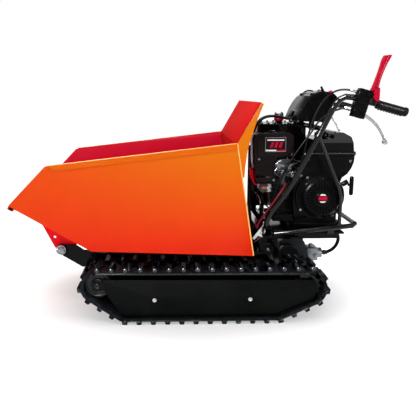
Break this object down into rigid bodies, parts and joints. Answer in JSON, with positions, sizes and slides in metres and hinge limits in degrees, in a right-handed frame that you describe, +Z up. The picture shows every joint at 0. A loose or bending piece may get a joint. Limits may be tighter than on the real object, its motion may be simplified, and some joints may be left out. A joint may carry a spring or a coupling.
{
  "type": "power wheelbarrow",
  "caption": "Tracked power wheelbarrow with a front-tipping hopper on a hydraulic ram, rear engine deck, rubber tracks and walk-behind handlebars with levers.",
  "frame": {"origin": "middle of the footprint box on the ground, under the tracks", "axes": "+X from the hopper lip to the handlebars, +Z up, -Y is the machine's left side"},
  "size_m": [1.6399, 0.7, 1.113],
  "materials": {
    "orange_paint": "gloss powder coat",
    "red_paint": "gloss powder coat",
    "black_paint": "satin powder coat",
    "cover_paint": "satin powder coat",
    "track_rubber": "matte moulded rubber",
    "rubber": "matte",
    "cable_sheath": "satin sheath",
    "chrome": "polished",
    "grey_casting": "painted casting",
    "dark_casting": "black painted casting",
    "bare_casting": "as cast",
    "black_plastic": "satin moulding",
    "dark_steel": "oiled steel",
    "red_lever": "gloss dip coating"
  },
  "bodies": {
    "chassis": {"rail_left": "black_paint", "rail_right": "black_paint", "cross_members": "black_paint", "rest_pads": "rubber", "pivot_pins": "chrome", "frame_left": "black_paint", "frame_right": "black_paint", "cover_left": "cover_paint", "cover_right": "cover_paint", "track_left": "track_rubber", "track_right": "track_rubber", "gearbox": "grey_casting", "engine_deck": "black_paint", "deck_rail": "black_paint", "crankcase": "dark_casting", "cylinder_head": "bare_casting", "blower_housing": "black_plastic", "recoil_cover": "black_plastic", "fuel_tank": "black_plastic", "air_cleaner": "black_plastic", "carburettor": "bare_casting", "muffler": "dark_steel", "drive_belt": "rubber", "belt_guard": "black_paint", "hydraulic_tank": "black_paint", "tank_breather": "chrome", "hydraulic_pump": "bare_casting", "hydraulic_hoses": "rubber", "console": "black_paint", "handlebar_left": "black_paint", "handlebar_right": "black_paint", "lever_clamps": "black_plastic", "grips": "rubber", "control_cables": "cable_sheath"},
    "hopper": {"hopper_side_left": "orange_paint", "hopper_side_right": "orange_paint", "hopper_floor": "orange_paint", "hopper_lip": "orange_paint", "hopper_rear_wall": "red_paint", "hopper_brackets": "red_paint"},
    "ram_barrel": {"ram_barrel": "black_paint"},
    "ram_rod": {"ram_rod": "chrome"},
    "drive_left": {"sprocket_left": "dark_steel"},
    "drive_right": {"sprocket_right": "dark_steel"},
    "idler_left": {"idler_left": "dark_steel"},
    "idler_right": {"idler_right": "dark_steel"},
    "roller_left_front": {"roller_left_front": "dark_steel"},
    "roller_left_rear": {"roller_left_rear": "dark_steel"},
    "roller_right_front": {"roller_right_front": "dark_steel"},
    "roller_right_rear": {"roller_right_rear": "dark_steel"},
    "clutch_lever": {"clutch_lever": "red_lever"},
    "steering_lever_left": {"steering_lever_left": "chrome"},
    "steering_lever_right": {"steering_lever_right": "chrome"},
    "throttle_lever": {"throttle_lever": "black_plastic"},
    "valve_lever": {"valve_lever": "red_lever"},
    "gear_lever": {"gear_lever": "black_plastic"},
    "fuel_cap": {"fuel_cap": "black_plastic"},
    "recoil_handle": {"recoil_handle": "black_plastic"},
    "crank": {"crank_pulley": "grey_casting"},
    "input_shaft": {"input_shaft": "dark_steel"}
  },
  "joints": [
    {"name": "hopper_tip", "type": "hinge", "parent": "chassis", "child": "hopper", "pos_m": [-0.646, 0, 0.272], "axis": [0, -1, 0], "range_deg": [0, 55]},
    {"name": "ram_tilt", "type": "hinge", "parent": "chassis", "child": "ram_barrel", "pos_m": [0.114, 0, 0.082], "axis": [0, 1, 0], "range_deg": [0, 21.7]},
    {"name": "ram_extend", "type": "slide", "parent": "ram_barrel", "child": "ram_rod", "axis": [-0.9401, 0, 0.3408], "range_m": [0, 0.26568]},
    {"name": "drive_left", "type": "hinge", "parent": "chassis", "child": "drive_left", "pos_m": [0.426, -0.26, 0.152], "axis": [0, 1, 0], "continuous": true},
    {"name": "idler_left_spin", "type": "hinge", "parent": "chassis", "child": "idler_left", "pos_m": [-0.462, -0.26, 0.167], "axis": [0, 1, 0], "continuous": true},
    {"name": "roller_left_front_spin", "type": "hinge", "parent": "chassis", "child": "roller_left_front", "pos_m": [-0.346, -0.26, 0.068], "axis": [0, 1, 0], "continuous": true},
    {"name": "roller_left_rear_spin", "type": "hinge", "parent": "chassis", "child": "roller_left_rear", "pos_m": [0.297, -0.26, 0.068], "axis": [0, 1, 0], "continuous": true},
    {"name": "drive_right", "type": "hinge", "parent": "chassis", "child": "drive_right", "pos_m": [0.426, 0.26, 0.152], "axis": [0, 1, 0], "continuous": true},
    {"name": "idler_right_spin", "type": "hinge", "parent": "chassis", "child": "idler_right", "pos_m": [-0.462, 0.26, 0.167], "axis": [0, 1, 0], "continuous": true},
    {"name": "roller_right_front_spin", "type": "hinge", "parent": "chassis", "child": "roller_right_front", "pos_m": [-0.346, 0.26, 0.068], "axis": [0, 1, 0], "continuous": true},
    {"name": "roller_right_rear_spin", "type": "hinge", "parent": "chassis", "child": "roller_right_rear", "pos_m": [0.297, 0.26, 0.068], "axis": [0, 1, 0], "continuous": true},
    {"name": "clutch_press", "type": "hinge", "parent": "chassis", "child": "clutch_lever", "pos_m": [0.67175, -0.281, 0.94706], "axis": [0, 1, 0], "range_deg": [0, 48], "stiffness_Nm_per_rad": 0.4, "springref_deg": -17.19},
    {"name": "steer_left", "type": "hinge", "parent": "chassis", "child": "steering_lever_left", "pos_m": [0.62094, -0.281, 0.88211], "axis": [0, -1, 0], "range_deg": [0, 22]},
    {"name": "steer_right", "type": "hinge", "parent": "chassis", "child": "steering_lever_right", "pos_m": [0.62094, 0.281, 0.88211], "axis": [0, -1, 0], "range_deg": [0, 22]},
    {"name": "throttle", "type": "hinge", "parent": "chassis", "child": "throttle_lever", "pos_m": [0.63486, 0.254, 0.95439], "axis": [0, 1, 0], "range_deg": [-20, 30]},
    {"name": "valve", "type": "hinge", "parent": "chassis", "child": "valve_lever", "pos_m": [0.556, 0, 0.905], "axis": [0, 1, 0], "range_deg": [-12, 12], "stiffness_Nm_per_rad": 2},
    {"name": "gear_select", "type": "hinge", "parent": "chassis", "child": "gear_lever", "pos_m": [0.47, 0.128, 0.866], "axis": [0, 1, 0], "range_deg": [-14, 14]},
    {"name": "fuel_cap_turn", "type": "hinge", "parent": "chassis", "child": "fuel_cap", "pos_m": [0.536, -0.052, 0.775], "axis": [0, 0, 1], "range_deg": [0, 90]},
    {"name": "recoil_pull", "type": "slide", "parent": "chassis", "child": "recoil_handle", "axis": [0.8, 0, 0.6], "range_m": [0, 0.45]},
    {"name": "crank_spin", "type": "hinge", "parent": "chassis", "child": "crank", "pos_m": [0.506, 0.135, 0.511], "axis": [0, 1, 0], "continuous": true},
    {"name": "input_spin", "type": "hinge", "parent": "chassis", "child": "input_shaft", "pos_m": [0.392, 0.135, 0.217], "axis": [0, 1, 0], "continuous": true}
  ],
  "couplings": [
    {"joint": "ram_tilt", "follows": "hopper_tip", "ratio": 0.39451},
    {"joint": "ram_extend", "follows": "hopper_tip", "m_per_rad": 0.27677},
    {"joint": "idler_left_spin", "follows": "drive_left", "ratio": 1.1273},
    {"joint": "roller_left_front_spin", "follows": "drive_left", "ratio": 1.55},
    {"joint": "roller_left_rear_spin", "follows": "drive_left", "ratio": 1.55},
    {"joint": "idler_right_spin", "follows": "drive_right", "ratio": 1.1273},
    {"joint": "roller_right_front_spin", "follows": "drive_right", "ratio": 1.55},
    {"joint": "roller_right_rear_spin", "follows": "drive_right", "ratio": 1.55},
    {"joint": "input_spin", "follows": "crank_spin", "ratio": 1}
  ]
}
